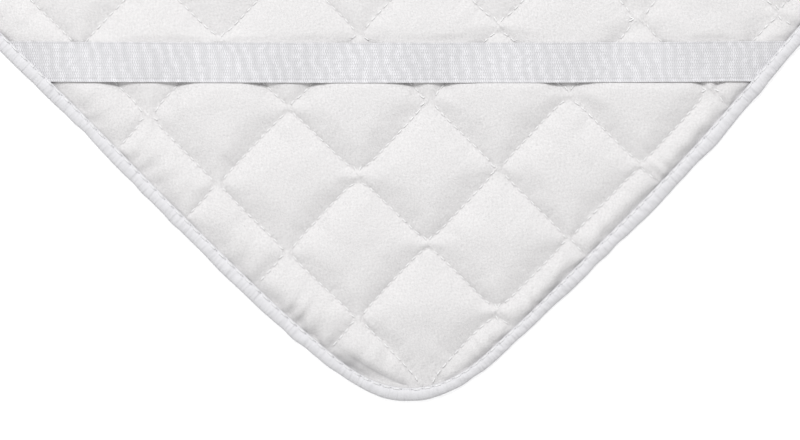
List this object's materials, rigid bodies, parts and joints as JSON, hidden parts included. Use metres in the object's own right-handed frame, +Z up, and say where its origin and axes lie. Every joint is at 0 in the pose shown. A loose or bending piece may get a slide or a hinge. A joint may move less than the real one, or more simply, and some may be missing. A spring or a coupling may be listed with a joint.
{
  "type": "mattress pad",
  "caption": "Flat quilted cot mattress pad, square-stitched, with a bound edge and an elastic strap across each rounded corner.",
  "frame": {"origin": "centre of the bounding box in plan, on the surface that the pad lies on", "axes": "+Z up, away from that surface, to the side with the straps; +X along the length; +Y across the width"},
  "size_m": [1.2504, 0.654, 0.0107],
  "materials": {
    "quilted_cloth": "matte woven cloth, white",
    "edge_tape": "matte folded tape, white",
    "elastic_webbing": "ribbed elastic, slight sheen, white"
  },
  "bodies": {
    "root": {"quilt": "quilted_cloth", "binding": "edge_tape", "strap_near_left": "elastic_webbing", "strap_near_right": "elastic_webbing", "strap_far_left": "elastic_webbing", "strap_far_right": "elastic_webbing"}
  },
  "joints": []
}
